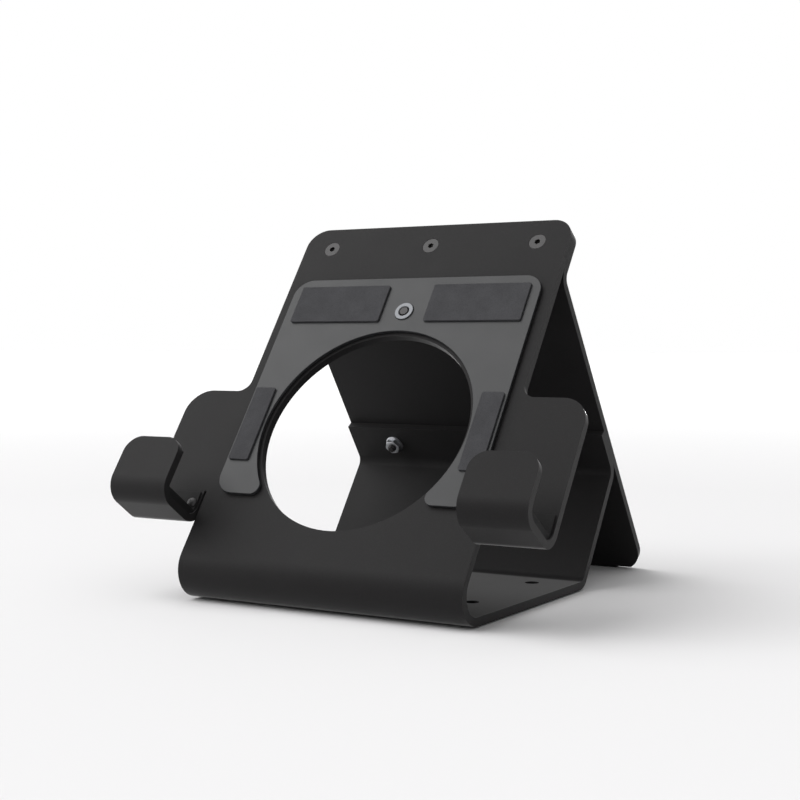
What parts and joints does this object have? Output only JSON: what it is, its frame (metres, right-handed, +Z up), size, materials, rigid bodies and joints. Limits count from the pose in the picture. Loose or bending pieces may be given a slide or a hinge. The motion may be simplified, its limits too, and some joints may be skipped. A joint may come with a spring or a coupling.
{
  "type": "tablet security kiosk stand",
  "caption": "Bent sheet-metal desk stand that holds a tablet leaning back, with side hooks for its lower edge, a round cut-out, a rear leg and a sliding plate that locks to the tablet's back.",
  "frame": {"origin": "on the surface that the stand stands on, under the middle of its outline", "axes": "+Z up, -Y towards the person in front of the stand, +X to the right of that person"},
  "size_m": [0.201, 0.2006, 0.1661],
  "materials": {
    "powder_coat": "matt charcoal powder coat with a very fine texture",
    "rubber": "dull black moulded rubber",
    "plate_steel": "satin dark grey coat on sheet steel",
    "foam_pad": "dark grey adhesive foam",
    "black_screw": "black oxide steel",
    "zinc_hardware": "bright zinc plating"
  },
  "bodies": {
    "stand": {"stand_body": "powder_coat", "rear_leg": "powder_coat", "hook_liner_left": "rubber", "hook_liner_right": "rubber", "foot_front_left": "rubber", "foot_front_right": "rubber", "foot_rear_left": "rubber", "foot_rear_right": "rubber", "leg_edge_strip": "rubber", "leg_top_screws": "black_screw", "brace_screws": "black_screw", "liner_rivets": "black_screw", "leg_top_nuts": "zinc_hardware", "brace_nuts": "zinc_hardware"},
    "plate": {"tablet_plate": "plate_steel", "plate_studs": "zinc_hardware", "lock_insert": "zinc_hardware", "lock_screw": "black_screw", "side_pad_left": "foam_pad", "side_pad_right": "foam_pad", "top_pad_left": "foam_pad", "top_pad_right": "foam_pad"}
  },
  "joints": [
    {"name": "plate_slide", "type": "slide", "parent": "stand", "child": "plate", "axis": [0, 0.5779, 0.8161], "range_m": [0, 0.012]}
  ]
}
